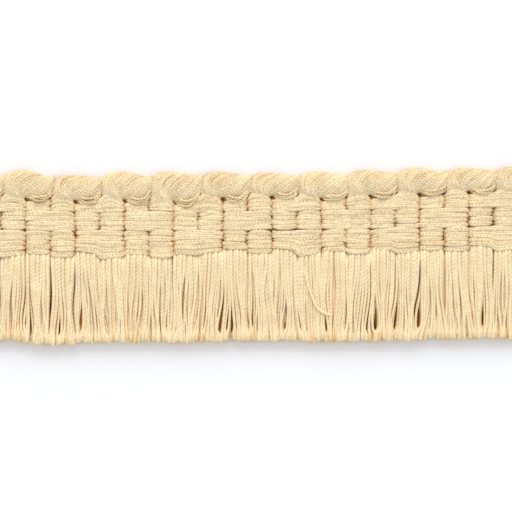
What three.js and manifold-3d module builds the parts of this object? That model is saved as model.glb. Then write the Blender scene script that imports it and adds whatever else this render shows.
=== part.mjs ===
// Brush fringe trim: a cut length lying face up on a surface.
// A woven heading of soft cotton cords covers thick weft bundles. Each bundle turns over the top
// edge as a loop, and its two cut ends hang below the heading as tufts of the fringe.
// Millimetres, +Z up. X runs along the trim, +Y towards the loops, and the back lies on z = 0.

import * as THREE from "three";
import { mergeVertices } from "three/addons/utils/BufferGeometryUtils.js";
import Module from "manifold-3d";

const wasm = await Module();
wasm.setup();

// Driving sizes
const columnPitch = 8; // one weft bundle in the heading
const loopCount = 12; // each loop is one bundle that fills two columns
const pieceGap = 0.3; // between neighbouring pieces
const fringeLine = 0.6; // Y where the fringe leaves the heading
const tipLine = -28; // Y of the cut ends
const headingThickness = 4.6;
const loopThickness = 5.2;

// Sizes that follow from them
const columnCount = 2 * loopCount;
const trimLength = columnCount * columnPitch;

// The trim doesn't lie dead straight: it bends away from its straight end, towards the loops.
const bow = { straightAt: -41, rise: 2, end: trimLength / 2, middle: -1 };

function bowAt(x) {
  const along = (x - bow.straightAt) / (bow.end - bow.straightAt);
  return bow.middle + bow.rise * along * along;
}

// The heading's warp cords lie in three bands. In a band the cords dive between two columns, and at
// every second meeting of two loops, odd (1) or even (0), they float over it instead.
const bands = [
  { from: fringeLine, to: 8.4, cords: 5, floatsAt: 1 },
  { from: 8.4, to: 14.4, cords: 4, floatsAt: 0 },
  { from: 14.4, to: 19.8, cords: 4, floatsAt: 1 },
];
const topBand = bands.at(-1);
const headingTop = topBand.to;
const cordValley = 0.55; // depth between two cords
const bandValley = 0.8; // depth between two bands
const diveDepth = 1.7; // depth where the cords dive between columns
const floatDip = 0.35; // dip of a float between its two columns
const shoulder = 0.2; // share of a column where its crown begins
const tailDrop = 1.5; // how far a loop's tail hangs over the heading

// Edge loops
const loopRise = 7.7; // top of a loop over the heading
const loopValley = 6.1; // top of the edge between two loops
const loopCorner = 3.2; // exponent of the loop's outline: 2 is round, more is squarer
const eyeRadius = 0.5; // the small hollow that the bundle turns round
const twistRidges = 4; // strands that show across a bundle
const ridgeHeight = 0.5;
const rimShare = 0.45; // height of a loop's rim as a share of its crown
const turnSteps = 4; // sections round the turn
const tailStops = [shoulder, 0.6, 1]; // sections along the tail, as shares of its column
const tailThinning = 0.3; // thickness that a tail loses where it tucks in at the next loop

// Tufts
const strandsPerLayer = 6;
const strandWidth = 0.95;
const strandHeight = 1.5; // from the flat underside to the ridge on top
const strandSteps = 3;
const rootLength = 1.6; // the strip that holds the strands of a tuft together
const rootThickness = 3.6;
const tipTaper = 0.8; // width of a strand's tip as a share of its root
// The under layer rests on the surface, and the over layer lies on it.
const layers = [
  { rootZ: 0, tipZ: 0, shift: -0.16, shorter: 0 },
  { rootZ: 1.9, tipZ: 1.7, shift: 0.16, shorter: 0.5 },
];
// The fringe is combed unevenly: each wave leans the tips one way and then the other, by reach.
const combWaves = [
  { length: 61, reach: 1.2, start: 0.4 },
  { length: 23, reach: 0.4, start: 2.1 },
  { length: 11.3, reach: 0.12, start: 4 },
];
const tipUnevenness = 0.55;

const cotton = new THREE.MeshStandardMaterial({ color: 0xecd7ab, roughness: 0.92, metalness: 0 });
const cottonDeep = new THREE.MeshStandardMaterial({ color: 0xe6cf9f, roughness: 0.94, metalness: 0 });

// A closed geometry as a solid
function solidOf(geometry) {
  const points = geometry.clone();
  points.deleteAttribute("normal");
  points.deleteAttribute("uv");
  const merged = mergeVertices(points, 1e-4);
  return new wasm.Manifold(
    new wasm.Mesh({
      numProp: 3,
      vertProperties: merged.attributes.position.array,
      triVerts: new Uint32Array(merged.index.array),
    }),
  );
}

// A named mesh of a solid
function meshOf(name, solid, material) {
  const made = solid.getMesh();
  const geometry = new THREE.BufferGeometry();
  geometry.setAttribute("position", new THREE.BufferAttribute(made.vertProperties, made.numProp));
  geometry.setIndex(new THREE.BufferAttribute(made.triVerts, 1));
  geometry.computeVertexNormals();
  const mesh = new THREE.Mesh(geometry, material);
  mesh.name = name;
  return mesh;
}

// Moves every point of a geometry to place(point)
function reshape(geometry, place) {
  const position = geometry.attributes.position;
  const point = new THREE.Vector3();
  for (let i = 0; i < position.count; i++) {
    point.fromBufferAttribute(position, i);
    point.copy(place(point));
    position.setXYZ(i, point.x, point.y + bowAt(point.x), point.z);
  }
  return geometry;
}

// All that lies below the back, to a little past the ends of the trim
const underBack = 1;
const groundBlock = new THREE.BoxGeometry(2 * trimLength, trimLength, 2 * underBack);
const ground = solidOf(groundBlock.translate(0, 0, -underBack));

// A slab whose face has steps by steps points: surface(i, j) gives a point of it for whole numbers i
// and j. The slab starts below the back and is cut off there, so its back is one flat face.
function reliefSlab(stepsAlong, stepsAcross, surface) {
  const box = new THREE.BoxGeometry(1, 1, 1, stepsAlong, stepsAcross, 1);
  const slab = reshape(box, (point) => {
    const i = Math.round((point.x + 0.5) * stepsAlong);
    const j = Math.round((point.y + 0.5) * stepsAcross);
    const placed = surface(i, j);
    return point.z > 0 ? placed : placed.setZ(-underBack);
  });
  return solidOf(slab).subtract(ground);
}

function named(base, index) {
  return `${base}_${String(index + 1).padStart(2, "0")}`;
}

function columnEdge(column) {
  return -trimLength / 2 + column * columnPitch;
}

// Heading: rows of its face run along the crests and valleys of the cords
function headingRows() {
  const rows = [];
  for (const band of bands) {
    const pitch = (band.to - band.from) / band.cords;
    for (let cord = 0; cord < band.cords; cord++) {
      const valley = cord === 0 ? bandValley : cordValley;
      rows.push({ y: band.from + cord * pitch, depth: valley, band });
      rows.push({ y: band.from + (cord + 0.5) * pitch, depth: 0, band });
    }
  }
  rows.push({ y: headingTop, depth: bandValley, band: topBand });
  return rows;
}

// Depth of the face at the edge between two columns. Odd edges are the middles of the loops, where
// every cord dives, and at even edges the bands take turns to float.
function edgeDepth(edge, band) {
  const cutEnd = edge === 0 || edge === columnCount;
  const floats = edge % 2 === 0 && (edge / 2) % 2 === band.floatsAt;
  return cutEnd || floats ? floatDip : diveDepth;
}

// The heading's top edge drops in the right leg of each loop, where the loop's tail lies over it,
// and rises again past the edge where the next loop begins.
function topDrop(column, share) {
  const underTail = column % 2 === 1 ? share > 0 : share === 0;
  return underTail ? tailDrop : 0;
}

function makeHeading() {
  const rows = headingRows();
  const linesPerColumn = 3; // the edge of a column and the two shoulders of its crown
  const slab = reliefSlab(columnCount * linesPerColumn, rows.length - 1, (i, j) => {
    const column = Math.floor(i / linesPerColumn);
    const share = [0, shoulder, 1 - shoulder][i % linesPerColumn];
    const row = rows[j];
    const depth = row.depth + (share === 0 ? edgeDepth(column, row.band) : 0);
    const upTopBand = Math.max(0, (row.y - topBand.from) / (topBand.to - topBand.from));
    const y = row.y - upTopBand * topDrop(column, share);
    return new THREE.Vector3(columnEdge(column + share), y, headingThickness - depth);
  });
  return meshOf("heading", slab, cottonDeep);
}

// Edge loop: the bundle comes up out of the left leg, turns round the eye and runs right as a tail
function loopOutline(angle) {
  const across = Math.cos(angle) / (columnPitch - pieceGap / 2);
  const up = Math.sin(angle) / loopRise;
  return 1 / Math.pow(across ** loopCorner + up ** loopCorner, 1 / loopCorner);
}

function loopSection(step, share, eye) {
  if (step <= turnSteps) {
    const angle = (Math.PI / 2) * (step / turnSteps);
    const radius = THREE.MathUtils.lerp(eyeRadius, loopOutline(angle), share);
    return { x: eye.x - radius * Math.cos(angle), y: eye.y + radius * Math.sin(angle), full: 1 };
  }
  const along = tailStops[step - turnSteps - 1];
  const low = eye.y - tailDrop;
  const high = eye.y + THREE.MathUtils.lerp(loopRise, loopValley, along);
  return {
    x: eye.x + along * (columnPitch - pieceGap / 2),
    y: THREE.MathUtils.lerp(low, high, share),
    full: 1 - tailThinning * along * along,
  };
}

function makeLoop(index) {
  const eye = { x: columnEdge(2 * index + 1), y: headingTop + pieceGap };
  const stepsAcross = 2 * twistRidges;
  const slab = reliefSlab(turnSteps + tailStops.length, stepsAcross, (i, j) => {
    const section = loopSection(i, j / stepsAcross, eye);
    const side = 2 * (j / stepsAcross) - 1;
    const crown = THREE.MathUtils.lerp(rimShare, 1, Math.sqrt(1 - side ** 4));
    const ridge = j % 2 === 0 ? ridgeHeight : 0;
    return new THREE.Vector3(section.x, section.y, loopThickness * crown * section.full - ridge);
  });
  return meshOf(named("edge_loop", index), slab, cotton);
}

// Tufts
function combAt(x) {
  return combWaves.reduce((lean, wave) => {
    return lean + wave.reach * Math.sin((2 * Math.PI * x) / wave.length + wave.start);
  }, 0);
}

// A tidy spread of values from 0 to 1, one for each strand
function spread(index) {
  const goldenShare = 0.618034;
  return (index * goldenShare) % 1;
}

// Section of a strand, one wide and one high: a flat underside and a ridge on top
const strandSection = new THREE.Shape([
  new THREE.Vector2(-0.5, 0),
  new THREE.Vector2(0.5, 0),
  new THREE.Vector2(0, 1),
]);

function makeStrand(rootX, layer, index) {
  const tipX = rootX + combAt(rootX);
  const tipY = tipLine + layer.shorter + tipUnevenness * spread(index);
  const rootY = fringeLine - pieceGap - rootLength / 2;
  const strand = new THREE.ExtrudeGeometry(strandSection, {
    depth: 1,
    steps: strandSteps,
    bevelEnabled: false,
  });
  return reshape(strand, (point) => {
    const along = point.z;
    const taper = THREE.MathUtils.lerp(1, tipTaper, along);
    return new THREE.Vector3(
      THREE.MathUtils.lerp(rootX, tipX, along * along) + point.x * strandWidth * taper,
      THREE.MathUtils.lerp(rootY, tipY, along),
      THREE.MathUtils.lerp(layer.rootZ, layer.tipZ, along) + point.y * strandHeight * taper,
    );
  });
}

function makeRoot(column) {
  const width = columnPitch - pieceGap;
  const root = new THREE.BoxGeometry(width, rootLength, rootThickness);
  const centreX = columnEdge(column + 0.5);
  const centreY = fringeLine - pieceGap - rootLength / 2;
  root.translate(centreX, centreY, rootThickness / 2);
  return reshape(root, (point) => point);
}

function makeTuft(column) {
  let tuft = solidOf(makeRoot(column));
  const pitch = (columnPitch - pieceGap) / strandsPerLayer;
  layers.forEach((layer, level) => {
    for (let i = 0; i < strandsPerLayer; i++) {
      const rootX = columnEdge(column) + pieceGap / 2 + (i + 0.5) * pitch + layer.shift;
      const index = (column * layers.length + level) * strandsPerLayer + i;
      tuft = tuft.add(solidOf(makeStrand(rootX, layer, index)));
    }
  });
  return meshOf(named("tuft", column), tuft, cotton);
}

const trim = new THREE.Group();
trim.add(makeHeading());
for (let loop = 0; loop < loopCount; loop++) trim.add(makeLoop(loop));
for (let column = 0; column < columnCount; column++) trim.add(makeTuft(column));

export default trim;
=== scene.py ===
# Brush fringe trim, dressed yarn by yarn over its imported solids.
# Sizes are in millimetres until a mesh is made: X along the trim, +Y towards the loops, +Z out of its face.
import math

import bmesh
import bpy
import numpy as np
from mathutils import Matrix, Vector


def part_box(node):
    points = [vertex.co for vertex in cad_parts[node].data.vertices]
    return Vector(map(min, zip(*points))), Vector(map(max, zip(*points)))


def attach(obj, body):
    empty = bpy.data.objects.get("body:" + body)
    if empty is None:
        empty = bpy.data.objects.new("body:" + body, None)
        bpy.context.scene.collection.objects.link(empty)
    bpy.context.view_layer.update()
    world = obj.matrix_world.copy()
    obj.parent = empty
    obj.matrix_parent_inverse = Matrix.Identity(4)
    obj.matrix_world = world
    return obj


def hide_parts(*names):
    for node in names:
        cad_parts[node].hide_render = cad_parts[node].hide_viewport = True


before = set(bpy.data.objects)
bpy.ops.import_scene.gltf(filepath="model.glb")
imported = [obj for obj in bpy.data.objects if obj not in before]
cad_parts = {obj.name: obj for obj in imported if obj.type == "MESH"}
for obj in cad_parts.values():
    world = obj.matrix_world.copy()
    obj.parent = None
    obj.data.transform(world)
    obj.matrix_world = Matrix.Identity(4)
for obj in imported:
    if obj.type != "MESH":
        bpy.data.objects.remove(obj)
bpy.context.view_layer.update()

mm = 0.001
dice = np.random.default_rng(23)  # one seed, so every run gives the same yarns

headingLow, headingHigh = (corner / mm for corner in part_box("heading"))
trim = {
    "loops": 12,  # weft bundles, each with two legs in the heading
    "fringeLine": 0.6,  # Y where the fringe leaves the heading
    "headingTop": 19.8,  # Y where the loops leave it
    "tipLine": -28.0,  # Y of the cut ends
    "straightAt": -41.0,  # X where the length lies straight
    "bowRise": 2.0,  # how far it has curved away at its right end
    "bowStart": -1.0,
    # how far over the fringe line the heading ends in each column
    "foot": [
        -0.5, -0.2, -0.5, -0.15, -1.0, 0.65, -1.15, -0.2, -1.2, -0.05, 0.4, 1.2,
        0.1, 1.4, -0.35, 0.5, -0.45, 0.75, -0.3, 0.3, -0.25, 1.25, -0.15, 0.6,
    ],
    # how far the eye of each loop lies under the heading's top line
    "eyeDrop": [1.6, 1.6, 2.3, 1.9, 2.5, 1.4, 1.0, 1.9, 1.2, 0.9, 0.6, 1.2],
}
trimLength = headingHigh.x - headingLow.x
columns = 2 * trim["loops"]
columnPitch = trimLength / columns


def columnEdge(column):
    return -trimLength / 2 + column * columnPitch


def bowAt(x):
    share = (x - trim["straightAt"]) / (trimLength / 2 - trim["straightAt"])
    return trim["bowStart"] + trim["bowRise"] * share**2


def mix(low, high, share):
    return low + (high - low) * share


def ease(start, end, x):
    share = np.clip((x - start) / (end - start), 0, 1)
    return share * share * (3 - 2 * share)


def distanceAlong(points):
    return np.concatenate([[0], np.cumsum(np.linalg.norm(np.diff(points, axis=0), axis=1))])


# A smooth path through a few points, with a point at about every step
def smoothPath(points, step):
    points = np.asarray(points, float)
    at = distanceAlong(points)
    slope = np.gradient(points, at, axis=0)
    fine = np.linspace(0, at[-1], max(4, round(at[-1] / step) + 1))
    i = np.clip(np.searchsorted(at, fine, side="right") - 1, 0, len(at) - 2)
    span = (at[i + 1] - at[i])[:, None]
    t = (fine - at[i])[:, None] / span
    start = (1 + 2 * t) * (1 - t) ** 2 * points[i] + t * (1 - t) ** 2 * span * slope[i]
    end = t**2 * (3 - 2 * t) * points[i + 1] + t**2 * (t - 1) * span * slope[i + 1]
    return start + end


# A slow random drift along a line, with a new value about every stretch
def wander(at, stretch, size):
    knots = np.arange(at.min() - stretch, at.max() + 2 * stretch, stretch)
    return np.interp(at, knots, dice.normal(0, size, len(knots)))


# Yarns are gathered in a batch of arrays, and each batch becomes one joined mesh.
yarnStrip = {
    "reelStart": 20.0,  # mm of twist within which each yarn starts, so that neighbours differ
    "girth": 2.7,  # mm round a common yarn
    "margin": 0.04,  # share of its cell that a yarn leaves free at each side of the bake map
}


def newBatch():
    return {"points": [], "corners": [], "sizes": [], "smooth": [], "tone": [], "strips": [], "count": 0}


# half is the yarn's half width and half height. Lobes are the plies that show round it: how many,
# how high as a share of half, and the length of one full twist. flankShade is painted shade: it makes the
# flanks deeper in tone than the crest.
# Past the share that is twisted, the end is combed out.
def addYarn(batch, path, half, tone, sides=6, lobes=(2, 0, 1), flankShade=0.25, twisted=1.0):
    path = np.array(path, float)
    path[:, 1] += bowAt(path[:, 0])
    count = len(path)
    along = np.gradient(path, axis=0)
    along /= np.linalg.norm(along, axis=1)[:, None]
    aside = np.cross(along, (0, 0, 1))
    aside /= np.linalg.norm(aside, axis=1)[:, None]
    upward = np.cross(aside, along)
    length = distanceAlong(path)
    angle = np.arange(sides) * 2 * math.pi / sides
    plies, height, twist = lobes
    reel = np.minimum(length, twisted * length[-1]) + dice.uniform(0, yarnStrip["reelStart"])
    swell = 1 + height * np.cos(plies * (angle[None, :] - 2 * math.pi * reel[:, None] / twist))
    wide, high = (np.broadcast_to(np.asarray(size, float), count)[:, None] for size in half)
    rings = (
        path[:, None, :]
        + aside[:, None, :] * (np.cos(angle) * wide * swell)[:, :, None]
        + upward[:, None, :] * (np.sin(angle) * high * swell)[:, :, None]
    )
    ring, spoke = np.meshgrid(np.arange(count - 1), np.arange(sides), indexing="ij")
    after = (spoke + 1) % sides
    walls = np.stack(
        [ring * sides + spoke, (ring + 1) * sides + spoke, (ring + 1) * sides + after, ring * sides + after],
        axis=-1,
    ).reshape(-1, 4)
    first = np.arange(sides)
    last = (count - 1) * sides + first[::-1]
    batch["corners"].append(batch["count"] + np.concatenate([walls.ravel(), first, last]))
    batch["sizes"].append(np.concatenate([np.full(len(walls), 4), [sides, sides]]))
    batch["smooth"].append(np.concatenate([np.ones(len(walls), bool), [False, False]]))
    batch["points"].append(rings.reshape(-1, 3))
    tone, flankShade = (np.broadcast_to(np.asarray(shade, float), count)[:, None] for shade in (tone, flankShade))
    tone = tone - flankShade * (1 - np.clip(np.sin(angle), 0, 1))[None, :]
    batch["tone"].append(np.clip(tone, 0, 1).ravel())
    ringAt = np.stack([ring, ring + 1, ring + 1, ring], axis=-1).ravel()
    ringAt = np.concatenate([ringAt, np.repeat([0, count - 1], sides)])
    turn = np.stack([spoke, spoke, spoke + 1, spoke + 1], axis=-1).ravel()
    turn = np.concatenate([turn, first, first[::-1]]) / sides
    batch["strips"].append((reel[ringAt], turn, length[ringAt]))
    batch["count"] += count * sides


# Lays the yarns of a batch side by side in a unit square, for a map with no overlaps.
def stripSheet(strips):
    longest = max(length.max() for reel, turn, length in strips)
    across = max(1, round(math.sqrt(len(strips) * yarnStrip["girth"] / longest)))
    down = math.ceil(len(strips) / across)
    margin = yarnStrip["margin"]
    laid = []
    for i, (reel, turn, length) in enumerate(strips):
        u = (i % across + margin + (1 - 2 * margin) * length / longest) / across
        v = (i // across + margin + (1 - 2 * margin) * turn) / down
        laid.append(np.stack([u, v], axis=-1))
    return np.concatenate(laid)


def makePiece(name, batch, material, slot, *nodes):
    mesh = bpy.data.meshes.new(name)
    points = np.concatenate(batch["points"]) * mm
    corners = np.concatenate(batch["corners"])
    sizes = np.concatenate(batch["sizes"])
    mesh.vertices.add(len(points))
    mesh.vertices.foreach_set("co", points.ravel())
    mesh.loops.add(len(corners))
    mesh.loops.foreach_set("vertex_index", corners.astype(np.int32))
    mesh.polygons.add(len(sizes))
    starts = np.concatenate([[0], np.cumsum(sizes)[:-1]])
    mesh.polygons.foreach_set("loop_start", starts.astype(np.int32))
    mesh.polygons.foreach_set("use_smooth", np.concatenate(batch["smooth"]))
    wound = np.concatenate([np.stack([reel, turn], axis=-1) for reel, turn, length in batch["strips"]])
    mesh.uv_layers.new(name="yarn").data.foreach_set("uv", wound.ravel().astype(np.float32))
    sheet = stripSheet(batch["strips"])
    mesh.uv_layers.new(name="OFBake").data.foreach_set("uv", sheet.ravel().astype(np.float32))
    tone = mesh.attributes.new("tone", "FLOAT", "POINT")
    tone.data.foreach_set("value", np.concatenate(batch["tone"]).astype(np.float32))
    mesh.update(calc_edges=True)
    mesh.validate()
    mesh.materials.append(material)
    piece = bpy.data.objects.new(name, mesh)
    bpy.context.scene.collection.objects.link(piece)
    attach(piece, "root")
    if nodes:
        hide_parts(*nodes)
    return piece


def linear(hexColour):
    channels = [int(hexColour[i : i + 2], 16) / 255 for i in (1, 3, 5)]
    return [c / 12.92 if c <= 0.04045 else ((c + 0.055) / 1.055) ** 2.4 for c in channels] + [1.0]


def addNode(tree, kind, settings=None, links=None):
    node = tree.nodes.new(kind)
    for key, value in (settings or {}).items():
        if isinstance(key, str) and hasattr(node, key):
            setattr(node, key, value)
        else:
            node.inputs[key].default_value = value
    for key, source in (links or {}).items():
        tree.links.new(source, node.inputs[key])
    return node


# Natural cotton yarn, two plies twisted together and left undyed: matt, softly fuzzy at grazing angles, with
# lighter and darker yarns side by side and small grey specks. The fine grooves between the plies and the
# hollows get painted shade, warm in the hollows.
cotton = {
    # low tones give the hollow and deep colours that the painted shade uses
    "deepAt": 0.12,  # tones of the colours between a hollow, 0, and the light of a crest, 1
    "meanAt": 0.45,
    "slubLength": 5.0,  # mm between paler and deeper stretches
    "slubRange": (0.36, 0.62),
    "slubColours": ("#f9f4f1", "#fffefa"),
    "speckSize": 0.55,  # mm, coarser than real fuzz, so that it shows
    "speckRange": (0.32, 0.52),
    "plies": 2,
    "tightLength": 6.0,  # mm between stretches where the twist is tight and where it is combed out
    "tightRange": (0.2, 1.8),  # depth of the grooves there, as a share of the mean
    "fibresRound": 12.0,  # fibres that show round a yarn
    "fibresAlong": 0.35,  # and in a millimetre of its length
    "fibreShare": 0.35,  # of the relief, beside the plies
    "relief": 0.06,  # mm
}


def cottonYarn(name, colours, plyTwist, grooveShadeDepth):
    material = bpy.data.materials.new(name)
    material.use_nodes = True
    tree = material.node_tree
    tree.nodes.clear()
    strip = addNode(tree, "ShaderNodeUVMap", {"uv_map": "yarn"})
    part = addNode(tree, "ShaderNodeSeparateXYZ", links={0: strip.outputs[0]})
    place = addNode(tree, "ShaderNodeTexCoord")
    tone = addNode(tree, "ShaderNodeAttribute", {"attribute_name": "tone"})
    # The tone attribute, each yarn's own tone with the painted shade and light added in, picks the colour
    # here.
    yarnColour = addNode(tree, "ShaderNodeValToRGB", links={0: tone.outputs["Fac"]})
    ramp = yarnColour.color_ramp
    ramp.elements[0].color = linear(colours["hollow"])
    ramp.elements[1].color = linear(colours["light"])
    ramp.elements.new(cotton["deepAt"]).color = linear(colours["deepShade"])
    ramp.elements.new(cotton["meanAt"]).color = linear(colours["mean"])
    slub = addNode(
        tree,
        "ShaderNodeTexNoise",
        {"Scale": 1 / (cotton["slubLength"] * mm), "Detail": 3.0, "Roughness": 0.65},
        {"Vector": place.outputs["Object"]},
    )
    slubColour = addNode(tree, "ShaderNodeValToRGB", links={0: slub.outputs["Fac"]})
    for stop, at, colour in zip(slubColour.color_ramp.elements, cotton["slubRange"], cotton["slubColours"]):
        stop.position = at
        stop.color = linear(colour)
    fuzz = addNode(
        tree,
        "ShaderNodeTexNoise",
        {"Scale": 1 / (cotton["speckSize"] * mm), "Detail": 2.0, "Roughness": 0.6},
        {"Vector": place.outputs["Object"]},
    )
    speckColour = addNode(tree, "ShaderNodeValToRGB", links={0: fuzz.outputs["Fac"]})
    speckColours = (colours["speck"], "#ffffff")
    for stop, at, colour in zip(speckColour.color_ramp.elements, cotton["speckRange"], speckColours):
        stop.position = at
        stop.color = linear(colour)
    # The groove between two plies comes round once for each ply in a full turn.
    turns = addNode(tree, "ShaderNodeMath", {"operation": "DIVIDE", 1: plyTwist}, {0: part.outputs[0]})
    helix = addNode(
        tree, "ShaderNodeMath", {"operation": "SUBTRACT"}, {0: part.outputs[1], 1: turns.outputs[0]}
    )
    fullTurn = 2 * math.pi * cotton["plies"]
    phase = addNode(tree, "ShaderNodeMath", {"operation": "MULTIPLY", 1: fullTurn}, {0: helix.outputs[0]})
    ply = addNode(tree, "ShaderNodeMath", {"operation": "COSINE"}, {0: phase.outputs[0]})
    groove = addNode(
        tree,
        "ShaderNodeMapRange",
        {"From Min": -1.0, "From Max": -0.2, "To Min": 1.0, "To Max": 0.0},
        {"Value": ply.outputs[0]},
    )
    tight = addNode(
        tree,
        "ShaderNodeTexNoise",
        {"Scale": 1 / (cotton["tightLength"] * mm), "Detail": 1.0},
        {"Vector": place.outputs["Object"]},
    )
    shallow, steep = (-share * grooveShadeDepth for share in cotton["tightRange"])
    tightDepth = addNode(
        tree,
        "ShaderNodeMapRange",
        {"From Min": 0.35, "From Max": 0.65, "To Min": shallow, "To Max": steep},
        {"Value": tight.outputs["Fac"]},
    )
    # Painted shade in the grooves between the plies: the colour is darker there, more where the twist is
    # tight.
    grooveShade = addNode(
        tree,
        "ShaderNodeMath",
        {"operation": "MULTIPLY_ADD", 2: 1.0},
        {0: groove.outputs[0], 1: tightDepth.outputs[0]},
    )
    fibreGrid = addNode(
        tree,
        "ShaderNodeMapping",
        {"Scale": (cotton["fibresAlong"], cotton["fibresRound"], 1.0)},
        {"Vector": strip.outputs[0]},
    )
    fibre = addNode(
        tree, "ShaderNodeTexNoise", {"Scale": 1.0, "Detail": 2.0}, {"Vector": fibreGrid.outputs[0]}
    )
    colour = yarnColour.outputs[0]
    for shade in (slubColour, speckColour, grooveShade):
        layer = addNode(
            tree,
            "ShaderNodeMix",
            {"data_type": "RGBA", "blend_type": "MULTIPLY", 0: 1.0},
            {6: colour, 7: shade.outputs[0]},
        )
        colour = layer.outputs[2]
    relief = addNode(
        tree,
        "ShaderNodeMath",
        {"operation": "MULTIPLY_ADD", 1: cotton["fibreShare"]},
        {0: fibre.outputs["Fac"], 2: ply.outputs[0]},
    )
    bump = addNode(
        tree,
        "ShaderNodeBump",
        {"Strength": 0.6, "Distance": cotton["relief"] * mm},
        {"Height": relief.outputs[0]},
    )
    surface = addNode(
        tree,
        "ShaderNodeBsdfPrincipled",
        {
            "Roughness": 0.92,
            "IOR": 1.47,
            "Specular IOR Level": 0.15,
            "Sheen Weight": 0.15,
            "Sheen Roughness": 0.5,
        },
        {"Base Color": colour, "Normal": bump.outputs[0]},
    )
    addNode(tree, "ShaderNodeOutputMaterial", links={0: surface.outputs[0]})
    return material


# Plied yarn in the loops and inside the heading, whose twist shows most
weftCotton = cottonYarn(
    "pliedCottonWeft",
    {"hollow": "#a5763c", "deepShade": "#c4a070", "mean": "#f1dbb0", "light": "#fdf0ce", "speck": "#e0dcdb"},
    plyTwist=-2.1,
    grooveShadeDepth=0.14,
)
# The same yarn combed out below the heading, so its twist hardly shows
fringeCotton = cottonYarn(
    "combedCottonFringe",
    {"hollow": "#94683a", "deepShade": "#e2a03c", "mean": "#fae8bf", "light": "#faedcb", "speck": "#eee9e5"},
    plyTwist=-2.6,
    grooveShadeDepth=0.065,
)
# A softer yarn along the heading, with the strongest specks
warpCotton = cottonYarn(
    "softCottonWarp",
    {"hollow": "#d9a55c", "deepShade": "#e2b97e", "mean": "#f4deb3", "light": "#f9e9c5", "speck": "#d4d0d0"},
    plyTwist=-2.2,
    grooveShadeDepth=0.09,
)

# Warp: two sets of cords swap places over and under the weft bundles, apart from the floats.
warp = {
    "bands": [
        {"from": trim["fringeLine"], "to": 8.2, "cords": 5, "floatsAt": 1},
        {"from": 8.2, "to": 14.4, "cords": 4, "floatsAt": 0},
        {"from": 14.4, "to": trim["headingTop"], "cords": 4, "floatsAt": 1},
    ],
    "shares": [0, 0.035, 0.08, 0.15, 0.28, 0.5, 0.72, 0.85, 0.92, 0.965],  # points along a column
    "half": (0.62, 0.33),
    "pitch": 1.5,  # of cords that have this size
    "fill": (0.97, 1.08),  # finer and thicker yarns, as shares of that size
    "yarnGap": 0.42,  # between the two yarns of a cord, as a share of the cords' pitch
    "middle": 2.15,  # height where the two sets cross
    "reach": 1.62,  # how far a cord stands over that on the face
    "backReach": 1.5,
    "crown": 0.32,  # extra height away from the dives
    "crownReach": 5.0,
    "diveReach": 1.1,  # length of a dive to the crossing
    "diveCurve": 0.6,
    "diveStray": 0.2,  # how far the dives stray from the column edges
    "crossShift": 0.24,  # how far each set moves aside where they cross, as a share of the pitch
    "crossRise": 0.4,
    "grip": (0.15, 1.0),  # loosest and tightest hold on a cord at an edge
    "squeeze": 0.75,  # how far a cord draws together as it dives
    "squeezeReach": 1.2,
    "squeezeThin": 0.6,
    "pinch": 0.07,  # how much narrower a band is at its dives
    "pinchReach": 3.0,
    "sag": 0.45,  # how far a float hangs between two tufts
    "sagRange": (0.6, 1.2),
    "sagReach": 5.0,
    "sagRise": 0.4,  # how far it comes forward there, as a share of the sag
    "footStep": 0.14,  # share of a column in which the lower edge steps up or down
    "footDown": 0.08,  # how far one set's lowest cord lies further down, and deeper
    "footUnder": 0.15,
    # how far the top cords give way along a loop's leg and tail:
    # columns from its left, drop, share of its eye's drop
    "topEdge": [
        (0.0, 0.8, 0.15),
        (0.25, -0.15, 0.0),
        (0.5, -0.35, 0.0),
        (0.75, 0.1, 0.1),
        (1.0, 0.9, 1.0),
        (1.3, 0.7, 1.0),
        (1.7, 0.4, 0.8),
        (2.0, 0.8, 0.15),
    ],
    "topSink": 0.2,  # how far they sink there, as a share of the drop
    # slow drifts along the trim: stretch and size
    "blockRise": (columnPitch, 0.08),
    "bandSway": (6, 0.09),
    "cordSway": (5, 0.07),
    "cordRise": (6, 0.06),
    "cordShade": (6, 0.05),
    "yarnSway": (3.5, 0.04),
    "yarnRise": (4, 0.05),
    "tone": 0.7,
    "cordTone": 0.03,  # how much the cords differ, and the two yarns of a cord
    "yarnTone": 0.05,
    # painted shade: the dives are deeper in tone, more where the hold is tight
    "crossShade": (0.2, 0.36),  # how much deeper a dive is, and how much more where the hold is tight
    # painted shade on the flanks of the cords
    "flankShade": 0.15,
}


def edgeFloats(edge, band):
    return edge % 2 == 0 and (edge // 2) % 2 == band["floatsAt"]


# How far the heading's top edge gives way
def topDrop(at):
    index = np.minimum(at // 2, trim["loops"] - 1).astype(int)
    columnsIn, drop, eyeShare = np.array(warp["topEdge"]).T
    along = at - 2 * index
    eyeDrop = np.array(trim["eyeDrop"])[index]
    return np.interp(along, columnsIn, drop) + np.interp(along, columnsIn, eyeShare) * eyeDrop


# How far the heading's lower edge steps up from the fringe line
def footRise(at):
    step = warp["footStep"]
    ends = np.array([(column + step, column + 1 - step) for column in range(columns)])
    return np.interp(at, ends.ravel(), np.repeat(trim["foot"], 2))


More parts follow.
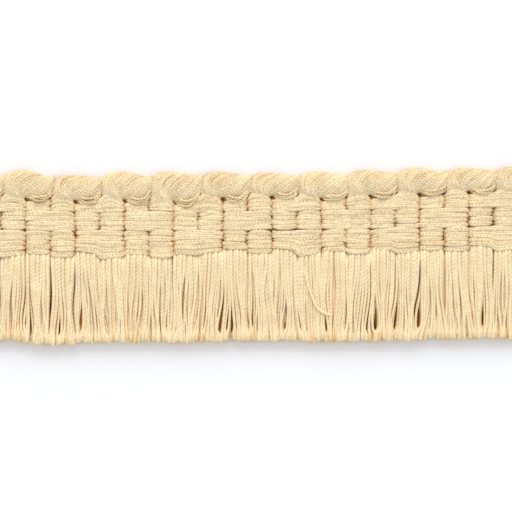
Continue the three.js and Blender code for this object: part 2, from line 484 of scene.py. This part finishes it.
# What all the cords of a band share along the trim. at counts columns from the left end.
def bandLay(band, at):
    x = columnEdge(at)
    lowest = band is warp["bands"][0]
    pitch = (band["to"] - band["from"]) / band["cords"]
    footLift = footRise(at) if lowest else np.zeros(len(at))
    edges = np.arange(1, columns)
    floats = np.array([edgeFloats(edge, band) for edge in edges])
    dives = edges[~floats]
    away = np.abs(x[:, None] - columnEdge(dives)[None, :]).min(axis=1)
    floatAway = np.abs(x[:, None] - columnEdge(edges[floats])[None, :]).min(axis=1)
    nearEdge = np.rint(at).astype(int)
    diveShare = np.minimum(1, away / warp["diveReach"])
    crown = warp["crown"] * (1 - (1 - np.minimum(1, away / warp["crownReach"])) ** 2)
    blockRise = wander(x, *warp["blockRise"])
    bandSway = wander(x, *warp["bandSway"])
    sag = warp["sag"] * lowest * dice.uniform(*warp["sagRange"], columns + 1)[nearEdge]
    return {
        "at": at,
        "x": x,
        "lowest": lowest,
        "nearEdge": nearEdge,
        "pitch": pitch,
        "middle": (band["to"] + band["from"]) / 2,
        "footLift": footLift,
        "spacing": pitch - footLift / (band["cords"] - 1),
        "face": 1 - 2 * ((at[:, None] >= dives[None, :]).sum(axis=1) % 2),
        "lift": diveShare ** warp["diveCurve"],
        "crossing": 1 - diveShare,
        "hold": np.exp(-away / warp["squeezeReach"]),
        "rise": warp["reach"] + crown + blockRise,
        "sway": bandSway,
        "pinch": 1 - warp["pinch"] * (1 - ease(0, warp["pinchReach"], away)),
        "sag": sag * (1 - ease(0, warp["sagReach"], floatAway)),
    }


# One row of a band for one of the two sets: two yarns side by side
def addCord(batch, band, lay, cord, side):
    at, x, pitch, crossing = lay["at"], lay["x"], lay["pitch"], lay["crossing"]
    topBand = warp["bands"][-1]
    front = side * lay["face"]
    hang = 1 - cord / (band["cords"] - 1)
    sag = np.where(front > 0, lay["sag"] * hang, 0)
    sway = lay["sway"] + wander(x, *warp["cordSway"])
    shifted = x + np.interp(at, np.arange(columns + 1), dice.normal(0, warp["diveStray"], columns + 1))
    grip = dice.uniform(*warp["grip"], columns + 1)[lay["nearEdge"]]
    squeeze = warp["squeeze"] * grip * lay["hold"]
    diveShade, gripShade = warp["crossShade"]
    tone = warp["tone"] + dice.normal(0, warp["cordTone"]) + wander(x, *warp["cordShade"])
    # painted shade at the dives
    tone -= (diveShade + gripShade * grip) * crossing
    recess = 1 if lay["lowest"] and cord == 0 and side == -1 else 0
    cordRise = wander(x, *warp["cordRise"])
    faceRise = lay["rise"] + cordRise - warp["footUnder"] * recess
    rise = np.where(front > 0, faceRise, warp["backReach"])
    for place in (-0.5, 0.5):
        y = band["from"] + (cord + 0.5) * pitch + place * warp["yarnGap"] * (1 - squeeze) * lay["spacing"]
        y += side * warp["crossShift"] * pitch * crossing + sway
        y += wander(x, *warp["yarnSway"]) - warp["footDown"] * recess
        y += lay["footLift"] * hang - sag
        y = lay["middle"] + (y - lay["middle"]) * lay["pinch"]
        climb = np.maximum(0, (y - topBand["from"]) / (topBand["to"] - topBand["from"]))
        drop = climb * topDrop(at)
        y -= drop
        height = front * (rise - warp["topSink"] * drop) + wander(x, *warp["yarnRise"])
        z = warp["middle"] + lay["lift"] * height + warp["crossRise"] * crossing + warp["sagRise"] * sag
        fill = lay["spacing"] / warp["pitch"] * dice.uniform(*warp["fill"])
        half = [size * fill * (1 - warp["squeezeThin"] * squeeze) for size in warp["half"]]
        yarnTone = tone + dice.normal(0, warp["yarnTone"])
        addYarn(batch, np.stack([shifted, y, z], axis=-1), half, yarnTone, flankShade=warp["flankShade"])


def makeWarp():
    batch = newBatch()
    at = np.array([column + share for column in range(columns) for share in warp["shares"]] + [columns])
    for band in warp["bands"]:
        lay = bandLay(band, at)
        for cord in range(band["cords"]):
            for side in (1, -1):
                addCord(batch, band, lay, cord, side)
    return makePiece("heading_warp", batch, warpCotton, "heading_yarn", "heading")


# Weft in the heading: one ridged bundle in each column, seen in the hollows and at the cut ends.
# Inside the trim it takes the hollow colour, painted shade; the two end bundles keep a lighter tone.
weft = {
    "half": (3.85, 1.5),
    "ridges": (13, 0.05, 1e6),  # how many, how high, and a twist too long to show
    "sides": 52,
    "steps": 7,
    "shiftUp": 0.3,  # how far a bundle is shifted towards the loops
    "hollowTone": 0.0,
    "endTone": 0.75,
}


def makeWeft():
    batch = newBatch()
    high = trim["headingTop"] + weft["shiftUp"]
    for column in range(columns):
        low = trim["fringeLine"] + trim["foot"][column] + weft["shiftUp"]
        y = np.linspace(low, high, weft["steps"])
        x = np.full(len(y), columnEdge(column + 0.5))
        path = np.stack([x, y, np.full(len(y), warp["middle"])], axis=-1)
        # inside, the weft takes the hollow colour as painted shade
        tone = weft["endTone"] if column in (0, columns - 1) else weft["hollowTone"]
        addYarn(batch, path, weft["half"], tone, weft["sides"], weft["ridges"])
    return makePiece("heading_weft", batch, weftCotton, "weft_yarn")


# Edge loops: each bundle comes up out of its left leg, turns round a small eye and tucks in behind the next.
loop = {
    # height of the top of each loop and of the dip after it, over the heading
    "rise": [7.7, 8.2, 6.65, 7.65, 7.65, 7.57, 7.1, 7.25, 7.65, 8.0, 7.63, 7.7],
    "valley": [6.4, 6.0, 6.05, 6.15, 6.7, 6.4, 6.25, 6.2, 6.5, 6.5, 6.7, 6.4],
    "corner": 4.4,  # exponent of the outline: 2 is round, more is squarer
    "left": 7.7,  # reach of the leg to the left of the eye
    "eye": 0.5,
    "thick": 4.8,
    "yarnHalf": 0.36,  # room left for a yarn inside the outline of the bundle
    "yarnRange": (0.95, 1.08),  # finer and thicker yarns, as shares of their ring's size
    "yarnStray": 0.2,  # how far they lie out of their even places, as a share of their spacing
    # from the outside in: yarns, size, half width of a yarn, step and sides.
    # On the outside each ply shows as a strand.
    "rings": [(44, 1.0, 0.38, 0.5, 6), (20, 0.78, 0.5, 0.9, 4), (9, 0.45, 0.5, 0.9, 4)],
    "sunk": 0.05,  # how much deeper some yarns lie
    "roll": 4.0,  # how fast the bundle turns about itself, in radians for its whole way
    "rollFrom": 0.1,  # share of the way where that starts
    "rollSpread": 0.25,
    # up the leg: depth under the eye, thickness, height of the underside
    "leg": [(2.4, 2.6, 1.0), (0.9, 3.0, 0.8)],
    "legGather": (0.75, 0.95),  # how narrow a leg is where it leaves the heading
    "legMiddle": 0.45,  # share of its width that it gathers to
    "turnSteps": 7,
    "turnThick": 4.2,  # at the start of the turn
    "turnFull": 0.35,  # share of the turn by which the bundle has its full thickness
    # along the tail: share of a column, lower edge, how far the upper edge has come down, thickness
    "tail": [
        (0.2, 0.0, 0.2, 4.75),
        (0.42, -0.3, 0.46, 4.6),
        (0.65, -0.3, 0.76, 4.5),
        (0.85, 0.4, 1.0, 4.4),
        (1.0, 1.5, 0.9, 4.2),
        (1.14, 2.4, 0.75, 3.8),
    ],
    # from the eye to the top of the turn, the tone falls: painted light low on the loop, which lies in
    # shade, turning to painted shade on its top, which the key lights; and every other strand stands out
    # less
    "tone": (0.9, 0.5),
    "paintedToneFall": (0.3, 0.95),
    "toneSpread": 0.08,
    "strandTone": 0.36,
    "strandFade": (0.45, 0.95),
    "strandLoss": 0.7,
    # painted shade on the flanks of the loop's yarns
    "flankShade": 0.16,
    # slack yarns that sag under the tail and hook up behind the next loop, measured from the eye
    "hook": [
        (0.9, 0.3, 2.6),
        (2.0, -0.4, 3.7),
        (3.4, -0.8, 4.15),
        (5.3, -0.8, 4.25),
        (7.0, 0.0, 4.1),
        (8.0, 1.3, 3.6),
        (8.7, 2.7, 2.6),
    ],
    # how far they hang in each loop, as a share of that, from where a taut yarn would lie
    "slack": [0.8, 0.7, 0.65, 1.0, 1.0, 1.0, 0.8, 0.6, 0.7, 0.6, 0.75, 0.8],
    "taut": 0.9,
    "hookYarns": 3,
    "hookHalf": 0.38,
    "hookGap": (0.66, 0.1),  # from one to the next, upwards and outwards
    "hookStray": 0.16,
    "hookPlies": (2, 0.2, -2.4),
    "hookSides": 8,
    "hookStep": 0.28,
    "hookTone": (0.55, 0.1),  # mean and spread
    # painted shade on the flanks of the hooks
    "hookFlankShade": 0.15,
}


def loopOutline(angle, rise):
    across = math.cos(angle) / loop["left"]
    up = math.sin(angle) / rise
    return (abs(across) ** loop["corner"] + abs(up) ** loop["corner"]) ** (-1 / loop["corner"])


# across and up place the yarn in its bundle, from -1 to 1 each way
def loopPath(eye, rise, valley, across, up, roll, gather):
    half = loop["yarnHalf"]

    def placed(turned, thick):
        angle = roll * max(0, turned - loop["rollFrom"])
        share = 0.5 + 0.5 * (across * math.cos(angle) + up * math.sin(angle))
        height = 0.5 + 0.5 * (up * math.cos(angle) - across * math.sin(angle))
        return share, mix(half, thick - half, height)

    points = []
    for depth, thick, lift in loop["leg"]:
        share, z = placed(0, thick)
        gathered = loop["legMiddle"] + (share - loop["legMiddle"]) * gather
        x = eye[0] - mix(loop["eye"] + half, loop["left"] - half, gathered)
        points.append((x, eye[1] - depth, z + lift))
    for step in range(loop["turnSteps"]):
        turned = step / (loop["turnSteps"] - 1)
        angle = math.pi / 2 * turned
        thick = mix(loop["turnThick"], loop["thick"], ease(0, loop["turnFull"], turned))
        share, z = placed(0.5 * turned, thick)
        radius = mix(loop["eye"] + half, loopOutline(angle, rise) - half, share)
        points.append((eye[0] - radius * math.cos(angle), eye[1] + radius * math.sin(angle), z))
    for along, low, fall, thick in loop["tail"]:
        share, z = placed(0.5 + 0.5 * along, thick)
        high = mix(rise, valley, fall)
        points.append((eye[0] + along * columnPitch, eye[1] + mix(low + half, high - half, share), z))
    return points


def makeLoop(index):
    batch = newBatch()
    eyeDrop = trim["eyeDrop"][index]
    eye = (columnEdge(2 * index + 1), trim["headingTop"] - eyeDrop)
    rise = loop["rise"][index] + eyeDrop
    valley = loop["valley"][index] + eyeDrop
    roll = loop["roll"] + dice.normal(0, loop["rollSpread"])
    gather = dice.uniform(*loop["legGather"])
    for yarns, size, half, step, sides in loop["rings"]:
        for i in range(yarns):
            angle = 2 * math.pi * (i + dice.uniform(-loop["yarnStray"], loop["yarnStray"])) / yarns
            radius = size * (1 - loop["sunk"] * dice.uniform())
            across = radius * math.cos(angle)
            up = radius * math.sin(angle)
            path = smoothPath(loopPath(eye, rise, valley, across, up, roll, gather), step)
            thick = half * dice.uniform(*loop["yarnRange"])
            height = (path[:, 1] - eye[1]) / rise
            parted = 1 - loop["strandLoss"] * ease(*loop["strandFade"], height)
            # painted light near the eye and painted shade towards the top of the turn
            tone = mix(*loop["tone"], ease(*loop["paintedToneFall"], height))
            tone += dice.normal(0, loop["toneSpread"]) - loop["strandTone"] * (i % 2) * parted
            addYarn(batch, path, (thick, thick), tone, sides, flankShade=loop["flankShade"])
    gapUp, gapOut = loop["hookGap"]
    half = loop["hookHalf"]
    meanTone, toneSpread = loop["hookTone"]
    for i in range(loop["hookYarns"]):
        points = np.array(loop["hook"])
        points[:, 1] = np.maximum(points[:, 1], mix(loop["taut"], points[:, 1], loop["slack"][index]))
        points += (eye[0], eye[1] + i * gapUp, i * gapOut)
        points += dice.normal(0, loop["hookStray"], points.shape)
        tone = meanTone + dice.normal(0, toneSpread)
        path = smoothPath(points, loop["hookStep"])
        addYarn(batch, path, (half, half), tone, loop["hookSides"], loop["hookPlies"], loop["hookFlankShade"])
    name = f"edge_loop_{index + 1:02d}"
    return makePiece(f"{name}_yarns", batch, weftCotton, "weft_yarn", name)


# Tufts: the cut ends of the bundles, combed down and lying in a few layers.
# Opens, Grows, Closes and Ends give a stretch of a yarn, from its root at 0 to its tip at 1.
tuft = {
    "yarns": 50,
    "half": (0.45, 0.38),  # half width and half height of a yarn
    "halfRange": (0.85, 1.15),  # finer and thicker yarns, as shares of that
    "flareAt": [0, 0.15, 0.45, 0.86, 0.94, 0.985, 1],
    "flare": [1.35, 1.3, 1.08, 0.95, 1.65, 1.6, 1.0],  # they spread like a brush before the cut
    "steps": 18,  # points along a yarn before the cut
    "lastStep": 0.985,
    "twisted": 0.84,  # share of a yarn that keeps its twist
    # heights of the lowest and the highest yarns, from root to tip
    "at": [0, 0.03, 0.07, 0.13, 0.5, 1],
    "low": [0.6, 0.55, 0.5, 0.65, 1.1, 0.9],
    "high": [3.4, 3.85, 4.1, 4.1, 3.5, 2.9],
    "levelShift": 0.37,  # from one tuft to the next
    "lift": (0.12, 0.1, 0.5),  # how far yarns rise out of their layer, and where
    "rootIn": 0.9,  # how far the roots reach up into the heading
    "rootStray": 0.05,
    "rootWidth": 0.95,  # of a tuft, as a share of its column, before it opens
    "rootOpens": (0, 0.15),
    "notch": 1.3,  # the roots lie deeper at the column edges
    "notchReach": 0.6,
    "notchEnds": (0.02, 0.14),
    # length of each tuft over or under the mean, left to right
    "uneven": [
        0.1, 0.2, 0.3, -0.8, -1.0, -0.2, 0.0, 0.0, 0.0, -0.3, 0.1, 0.1,
        0.0, 0.2, -0.3, -0.4, -0.4, -0.3, -0.5, -0.2, -0.3, -0.2, -0.5, -0.3,
    ],
    "cut": (0.15, 0.7),  # mm over its tip line where the yarns of a tuft are cut
    "cutLayers": 0.3,  # how much longer the upper ones are
    # how the cut follows the locks: its share, and how many times shorter its waves are
    "cutLocks": (0.5, 1.7),
    # the whole fringe leans one way and then the other: length of a wave, reach at the tips and start
    "combWaves": [(61, 1.3, 0.4), (23, 1.0, 2.1), (11.3, 0.45, 4)],
    # neighbours drift together in soft locks: size, length of a wave across and down, start
    "locks": [(0.55, 9.3, 48, 1), (0.2, 5.1, -33, 2)],
    "lockOpens": (0.1, 0.7),
    "looseLevels": (0.05, 0.35),  # share of the layers, from the lowest, over which yarns come loose
    # where the upper layers part, and how wide
    "partings": [
        (-72.0, 0.8), (-66.4, 0.7), (-61.2, 0.6), (-57.3, 0.7), (-54.0, 0.9), (-51.4, 0.4), (-45.2, 0.9),
        (-43.2, 0.5), (-38.7, 0.5), (-34.1, 0.4), (-30.5, 0.5), (-23.6, 0.8), (-19.1, 0.5), (-14.2, 0.8),
        (-8.3, 0.7), (-6.7, 0.7), (3.1, 0.4), (6.4, 0.6), (11.9, 0.9), (16.5, 0.5), (19.5, 0.7),
        (25.2, 1.1), (31.2, 0.4), (35.8, 0.4), (41.0, 1.2), (48.2, 1.1), (55.7, 1.2), (66.5, 0.7),
        (76.6, 0.8), (81.8, 0.4),
    ],
    "partingCurve": 1.5,  # wide partings open more than narrow ones
    "partingReach": 1.4,
    "partingLean": 0.5,  # share of the lean at which a parting is placed
    "partingOpens": (0.3, 0.84),
    "partingGrowth": 2.2,  # exponent: more opens later and faster
    "partingCloses": (0.87, 0.94),
    "closed": 0.95,  # how far partings close again at the matted tips
    # the tufts part from each other at the column edges, some from the root and some hardly at all
    "edgeGap": 0.75,
    "edgeCurve": 1.5,
    "edgeReach": 1.1,
    "edgeOpens": (0.0, 0.2),
    "edgeCloses": (0.86, 0.95),
    # single yarns stray: how far, and the stretch in which they do. A few stray from the root.
    "stray": (0.28, 0.1, 0.6),
    "tipStray": (0.4, 0.6, 1),
    "wildStray": 1.1,
    "wildShare": 0.15,
    "wildCurve": 1.5,
    "tone": (0.7, 0.09),  # mean and spread
    # painted shade at the roots, under the heading's edge
    "rootShade": (0.04, 0, 0.06),  # how much deeper it is there, and the stretch
    # painted shade on the last stretch before the cut
    "tipShade": (0.22, 0.84, 0.95),
    # painted shade on the lowest layers, under the upper ones
    "lowShade": 0.5,  # how much deeper the lowest layers are
    "lowLevels": (0.1, 0.55),  # share of the layers over which that fades
    "lowEnds": (0.86, 0.94),
    # painted shade on the flanks of the yarns, less at the matted tips
    "flankShade": (0.3, 0.52),  # at the root and lower down
    "flankShadeGrows": (0.2, 0.7),
    "flankShadeEnds": (0.84, 0.93),
    "flankShadeLoss": 0.75,
    "endReach": 1.6,  # mm from the two ends of the trim in which the warm shade comes in
    # the lowest layer, which closes the partings from behind
    "bedYarns": 9,
    "bedHalf": (0.62, 0.4),
    "bedHeight": 0.8,
    "bedSteps": 8,
    "bedSides": 4,
    "bedShort": 1.0,  # mm that it ends before the tips
    # inside, the bed takes the hollow colour as painted shade at the bottom of the partings
    "bedShade": (0.6, 0.0),  # at the two ends of the trim and inside
    # loose ends that fray out at the tips
    "fibres": 45,
    "fibreHalf": 0.1,
    "fibreRise": (0.4, 2.6),  # mm over the tips where they start
    "fibreHeight": (2.4, 3.3),
    "fibreLength": (0.5, 1.3),
    "fibreSpread": 0.8,  # radians to each side of straight down
    "fibreDroop": -0.15,
    "fibreBend": 0.15,
    "fibreStep": 0.45,
    "fibreSides": 4,
    "fibreTone": 0.75,
    # one yarn has slipped out of its tuft and lies across the next
    "slippedFrom": 14,
    "slipped": [
        (18.0, -0.5, 3.4),
        (18.8, -6.4, 3.8),
        (20.9, -13.3, 3.9),
        (23.2, -17.9, 3.85),
        (25.4, -19.2, 3.7),
        (27.6, -19.9, 3.1),
    ],
    "slippedStep": 0.6,
    "slippedTone": 0.72,
    # painted shade on the slipped yarn's flanks
    "slippedFlankShade": 0.3,
}
golden = 0.618034  # spreads the layers evenly among neighbours
edgeParting = dice.uniform(0, 1, columns + 1) ** tuft["edgeCurve"]


def combAt(x):
    waves = tuft["combWaves"]
    return sum(reach * np.sin(2 * math.pi * x / length + start) for length, reach, start in waves)


def partingPush(x):
    push = 0
    for at, wide in tuft["partings"]:
        away = x - at
        push += np.sign(away) * wide ** tuft["partingCurve"] * np.exp(-abs(away) / tuft["partingReach"])
    return push


def lockDrift(x, y):
    drift = 0
    for size, wide, tall, start in tuft["locks"]:
        drift += size * np.sin(2 * math.pi * (x / wide + y / tall) + start)
    return drift


# The painted warm shade lies between neighbours, so the yarns at the trim's two cut ends have none on the
# outside.
def insideShare(x):
    return ease(0, tuft["endReach"], trimLength / 2 - abs(x))


def addTuftYarn(batch, column, index, root, tipLine):
    share = np.append(np.linspace(0, tuft["lastStep"], tuft["steps"]), 1)
    level = (index * golden + tuft["levelShift"] * column) % 1
    loose = ease(*tuft["looseLevels"], level)
    left = columnEdge(column)
    centre = columnEdge(column + 0.5)
    rootX = left + (index + 0.5) / tuft["yarns"] * columnPitch + dice.normal(0, tuft["rootStray"])
    fromLeft = rootX - left
    fromRight = columnEdge(column + 1) - rootX
    lean = combAt(rootX)
    cutSize, cutWaves = tuft["cutLocks"]
    tip = tipLine + dice.uniform(*tuft["cut"]) - tuft["cutLayers"] * level
    tip += cutSize * lockDrift(cutWaves * rootX, 0)
    y = mix(root, tip, share)
    opening = mix(tuft["rootWidth"], 1, ease(*tuft["rootOpens"], share))
    x = centre + (rootX - centre) * opening + lean * share**2
    parted = ease(*tuft["partingOpens"], share) ** tuft["partingGrowth"]
    parted *= 1 - tuft["closed"] * ease(*tuft["partingCloses"], share)
    x += loose * partingPush(rootX + tuft["partingLean"] * lean) * parted
    inward = edgeParting[column] * np.exp(-fromLeft / tuft["edgeReach"])
    inward -= edgeParting[column + 1] * np.exp(-fromRight / tuft["edgeReach"])
    opened = ease(*tuft["edgeOpens"], share) * (1 - tuft["closed"] * ease(*tuft["edgeCloses"], share))
    x += tuft["edgeGap"] * loose * inward * opened
    x += loose * lockDrift(rootX, y) * ease(*tuft["lockOpens"], share)
    for size, start, end in (tuft["stray"], tuft["tipStray"]):
        x += dice.normal(0, size) * ease(start, end, share)
    if dice.uniform() < tuft["wildShare"]:
        x += dice.normal(0, tuft["wildStray"]) * share ** tuft["wildCurve"]
    lowZ, highZ = (np.interp(share, tuft["at"], tuft[layer]) for layer in ("low", "high"))
    liftSize, liftStart, liftEnd = tuft["lift"]
    z = mix(lowZ, highZ, level) + abs(dice.normal(0, liftSize)) * ease(liftStart, liftEnd, share)
    notch = np.exp(-fromLeft / tuft["notchReach"]) + np.exp(-fromRight / tuft["notchReach"])
    flare = np.interp(share, tuft["flareAt"], tuft["flare"])
    half = [size * flare * dice.uniform(*tuft["halfRange"]) for size in tuft["half"]]
    z = np.maximum(half[1], z - tuft["notch"] * notch * (1 - ease(*tuft["notchEnds"], share)))
    meanTone, toneSpread = tuft["tone"]
    rootShade, rootStart, rootEnd = tuft["rootShade"]
    tipShade, tipStart, tipEnd = tuft["tipShade"]
    inside = insideShare(rootX)
    # Painted shade deepens the roots, the last stretch before the cut, the lowest layers and the flanks.
    tone = meanTone + dice.normal(0, toneSpread) - rootShade * (1 - ease(rootStart, rootEnd, share))
    tone -= tipShade * ease(tipStart, tipEnd, share)
    deepShade = inside * (1 - ease(*tuft["lowLevels"], level))
    tone -= tuft["lowShade"] * deepShade * (1 - ease(*tuft["lowEnds"], share))
    flankShade = inside * mix(*tuft["flankShade"], ease(*tuft["flankShadeGrows"], share))
    flankShade *= 1 - tuft["flankShadeLoss"] * ease(*tuft["flankShadeEnds"], share)
    addYarn(batch, np.stack([x, y, z], axis=-1), half, tone, flankShade=flankShade, twisted=tuft["twisted"])


def addBedYarn(batch, column, index, root, tipLine):
    share = np.linspace(0, 1, tuft["bedSteps"])
    rootX = columnEdge(column) + (index + 0.5) / tuft["bedYarns"] * columnPitch
    x = rootX + combAt(rootX) * share**2
    y = mix(root, tipLine + tuft["bedShort"], share)
    z = np.full(len(share), tuft["bedHeight"])
    # painted shade: the bed is darkest inside the trim
    tone = mix(*tuft["bedShade"], insideShare(rootX))
    addYarn(batch, np.stack([x, y, z], axis=-1), tuft["bedHalf"], tone, tuft["bedSides"], flankShade=0)


def addFibre(batch, column, tipLine):
    x = columnEdge(column + dice.uniform())
    y = tipLine + dice.uniform(*tuft["fibreRise"])
    start = np.array([x + combAt(x), y, dice.uniform(*tuft["fibreHeight"])])
    angle = dice.normal(-math.pi / 2, tuft["fibreSpread"])
    direction = np.array([math.cos(angle), math.sin(angle), tuft["fibreDroop"]])
    reach = dice.uniform(*tuft["fibreLength"]) * direction
    bend = dice.normal(0, tuft["fibreBend"], 3)
    path = smoothPath([start, start + 0.5 * reach + bend, start + reach], tuft["fibreStep"])
    half = (tuft["fibreHalf"], tuft["fibreHalf"])
    addYarn(batch, path, half, tuft["fibreTone"], tuft["fibreSides"], flankShade=0)


def makeTuft(column):
    batch = newBatch()
    root = trim["fringeLine"] + trim["foot"][column] + tuft["rootIn"]
    tipLine = trim["tipLine"] + tuft["uneven"][column]
    for index in range(tuft["yarns"]):
        addTuftYarn(batch, column, index, root, tipLine)
    if column == tuft["slippedFrom"]:
        path = smoothPath(tuft["slipped"], tuft["slippedStep"])
        addYarn(batch, path, tuft["half"], tuft["slippedTone"], flankShade=tuft["slippedFlankShade"])
    for index in range(tuft["bedYarns"]):
        addBedYarn(batch, column, index, root, tipLine)
    for index in range(tuft["fibres"]):
        addFibre(batch, column, tipLine)
    name = f"tuft_{column + 1:02d}"
    return makePiece(f"{name}_yarns", batch, fringeCotton, "weft_yarn", name)


warpPiece = makeWarp()
print("heading warp", len(warpPiece.data.polygons))
weftPiece = makeWeft()
print("heading weft", len(weftPiece.data.polygons))
loopPieces = [makeLoop(index) for index in range(trim["loops"])]
print("edge loops", sum(len(piece.data.polygons) for piece in loopPieces))
tuftPieces = [makeTuft(column) for column in range(columns)]
print("tufts", sum(len(piece.data.polygons) for piece in tuftPieces))

# Floor, light and camera
studio = {
    "floorSize": 1.2,  # metres
    "floorColour": "#f3f4f7",
    "sky": 0.81,
    "keyStrength": 2.3,
    "keyHeight": 26.0,  # degrees over the floor, from behind the loops
    "keySoftness": 54.0,  # degrees across
    "viewWidth": 167.2,  # mm across the picture
    "lens": 150.0,
    "sensor": 36.0,
    "nearest": 0.01,  # metres
    "lookAt": (2.8, -1.0),
}


def makeFloor():
    paper = bpy.data.materials.new("mattWhitePaper")  # bright and even, with no gloss
    paper.use_nodes = True
    surface = paper.node_tree.nodes["Principled BSDF"]
    surface.inputs["Base Color"].default_value = linear(studio["floorColour"])
    surface.inputs["Roughness"].default_value = 1.0
    surface.inputs["Specular IOR Level"].default_value = 0.0
    shape = bmesh.new()
    bmesh.ops.create_grid(shape, x_segments=1, y_segments=1, size=studio["floorSize"])
    mesh = bpy.data.meshes.new("floor")
    shape.to_mesh(mesh)
    shape.free()
    mesh.materials.append(paper)
    floor = bpy.data.objects.new("floor", mesh)
    bpy.context.scene.collection.objects.link(floor)


def makeLight():
    world = bpy.data.worlds.new("studio")
    world.use_nodes = True
    sky = world.node_tree.nodes["Background"]
    sky.inputs["Color"].default_value = (1, 1, 1, 1)
    sky.inputs["Strength"].default_value = studio["sky"]
    bpy.context.scene.world = world
    lamp = bpy.data.lights.new("key", "SUN")
    lamp.energy = studio["keyStrength"]
    lamp.angle = math.radians(studio["keySoftness"])
    key = bpy.data.objects.new("key", lamp)
    key.rotation_euler = (math.radians(studio["keyHeight"] - 90), 0, 0)
    bpy.context.scene.collection.objects.link(key)


def makeCamera():
    lens = bpy.data.cameras.new("camera")
    lens.lens = studio["lens"]
    lens.sensor_width = studio["sensor"]
    lens.clip_start = studio["nearest"]
    camera = bpy.data.objects.new("camera", lens)
    distance = studio["viewWidth"] * lens.lens / lens.sensor_width
    x, y = studio["lookAt"]
    camera.location = (x * mm, y * mm, distance * mm)
    bpy.context.scene.collection.objects.link(camera)
    bpy.context.scene.camera = camera


makeFloor()
makeLight()
makeCamera()
bpy.context.scene.view_settings.view_transform = "Standard"
print("studio ready")
